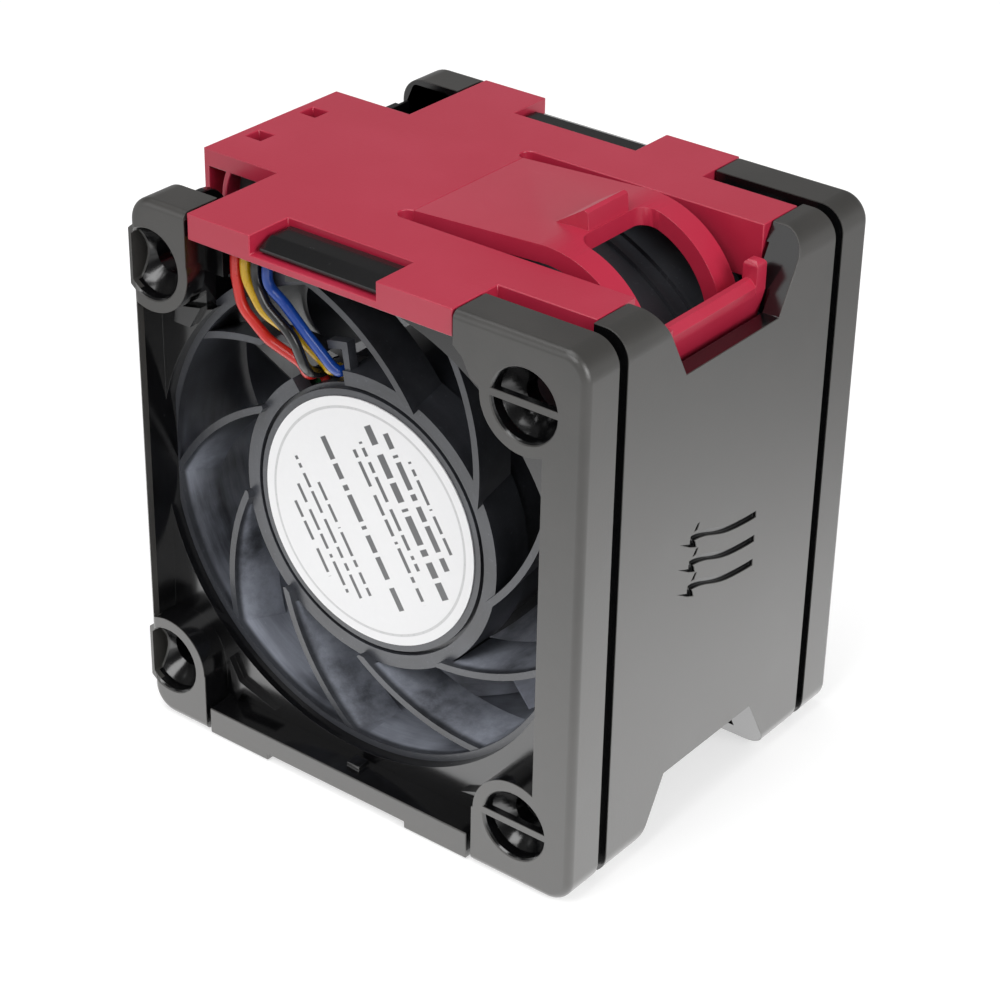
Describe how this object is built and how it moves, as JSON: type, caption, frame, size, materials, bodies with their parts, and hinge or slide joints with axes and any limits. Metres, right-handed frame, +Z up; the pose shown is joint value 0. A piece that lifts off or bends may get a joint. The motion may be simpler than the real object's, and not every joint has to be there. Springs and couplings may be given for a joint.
{
  "type": "server fan module",
  "caption": "Hot-swap axial fan module: dark square frame with guide vanes and labelled hub, wine carrier on top with a press latch, four leads to a hidden plug",
  "frame": {"origin": "on the base plane, straight below the fan axis, at mid depth between the two end flanges", "axes": "+Z up, the fan axis runs along Y, +Y is the inlet side, -Y the outlet side with the guide vanes and hub label, +X the latch side"},
  "size_m": [0.0627, 0.0506, 0.0678],
  "materials": {
    "frame_plastic": "moulded, very fine grain, low sheen",
    "duct_plastic": "moulded, blue-black, faint mottling",
    "carrier_plastic": "moulded, satin, wine colour",
    "rail_plastic": "moulded, low sheen",
    "rotor_plastic": "moulded, satin",
    "label_film": "glossy white film with plain grey blocks",
    "plug_plastic": "moulded, satin",
    "contact_brass": "plated, smooth",
    "board_laminate": "green solder mask",
    "chip_plastic": "moulded epoxy",
    "bearing_steel": "ground steel",
    "spring_steel": "rolled strip",
    "shaft_steel": "ground and polished",
    "lamination_steel": "stacked punched sheet",
    "insulator_plastic": "moulded, off-white",
    "coil_enamel": "wound enamelled copper",
    "yoke_steel": "drawn sheet",
    "magnet_rubber": "bonded ferrite strip",
    "bush_brass": "turned",
    "lead_red": "extruded insulation, satin",
    "lead_black": "extruded insulation, satin",
    "lead_yellow": "extruded insulation, satin",
    "lead_blue": "extruded insulation, satin"
  },
  "bodies": {
    "housing": {"outlet_flange": "frame_plastic", "inlet_flange": "frame_plastic", "outlet_duct": "duct_plastic", "inlet_duct": "duct_plastic", "side_cover": "frame_plastic", "left_cover_upper": "frame_plastic", "left_cover_lower": "frame_plastic", "base_rail": "rail_plastic", "top_carrier": "carrier_plastic", "connector_housing": "plug_plastic", "connector_contacts": "contact_brass", "hub_label": "label_film", "driver_board": "board_laminate", "board_components": "chip_plastic", "outlet_bearing": "bearing_steel", "inlet_bearing": "bearing_steel", "bearing_spacer": "spring_steel", "preload_spring": "spring_steel", "stator_core": "lamination_steel", "stator_insulator": "insulator_plastic", "stator_coils": "coil_enamel", "wire_red": "lead_red", "wire_black": "lead_black", "wire_yellow": "lead_yellow", "wire_blue": "lead_blue"},
    "rotor": {"impeller": "rotor_plastic", "rotor_yoke": "yoke_steel", "magnet_ring": "magnet_rubber", "shaft": "shaft_steel", "shaft_bush": "bush_brass", "retaining_clip": "spring_steel"},
    "latch": {"latch_tongue": "carrier_plastic"}
  },
  "joints": [
    {"name": "rotor_spin", "type": "hinge", "parent": "housing", "child": "rotor", "pos_m": [0, 0, 0.03225], "axis": [0, 1, 0], "continuous": true},
    {"name": "latch_press", "type": "hinge", "parent": "housing", "child": "latch", "pos_m": [-0.0019, 0, 0.0627], "axis": [0, 1, 0], "range_deg": [0, 5], "stiffness_Nm_per_rad": 3.5}
  ]
}
